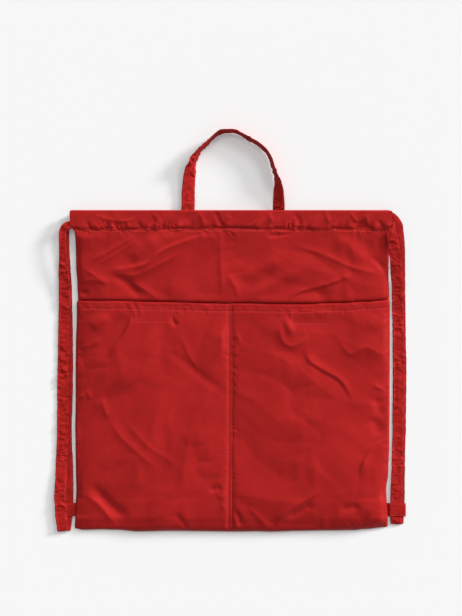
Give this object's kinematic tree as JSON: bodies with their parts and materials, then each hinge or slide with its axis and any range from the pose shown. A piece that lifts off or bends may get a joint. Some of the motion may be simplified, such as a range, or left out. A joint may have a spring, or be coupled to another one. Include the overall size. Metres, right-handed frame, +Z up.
{
  "type": "drawstring bag",
  "caption": "Flat nylon drawstring bag lying on its back, with a wide front pocket, flat straps run through a casing at the mouth, corner tabs and a short hand loop.",
  "frame": {"origin": "on the table, under the middle of the whole bag's bounding box, straps and hand loop included", "axes": "+Z up from the table the bag lies on, +Y from the bag's bottom seam to its mouth and hand loop, +X to the right as its front is seen from above"},
  "size_m": [0.4526, 0.5157, 0.0176],
  "materials": {
    "nylon": "satin taffeta",
    "strap": "stitched and puckered flat strap",
    "closure_tape": "matt hook-and-loop tape"
  },
  "bodies": {
    "root": {"back_panel": "nylon", "front_panel": "nylon", "pocket_panel": "nylon", "left_strap": "strap", "right_strap": "strap", "left_tab": "strap", "right_tab": "strap", "hand_loop": "strap", "left_loop_strip": "closure_tape", "left_hook_strip": "closure_tape", "right_loop_strip": "closure_tape", "right_hook_strip": "closure_tape"}
  },
  "joints": []
}
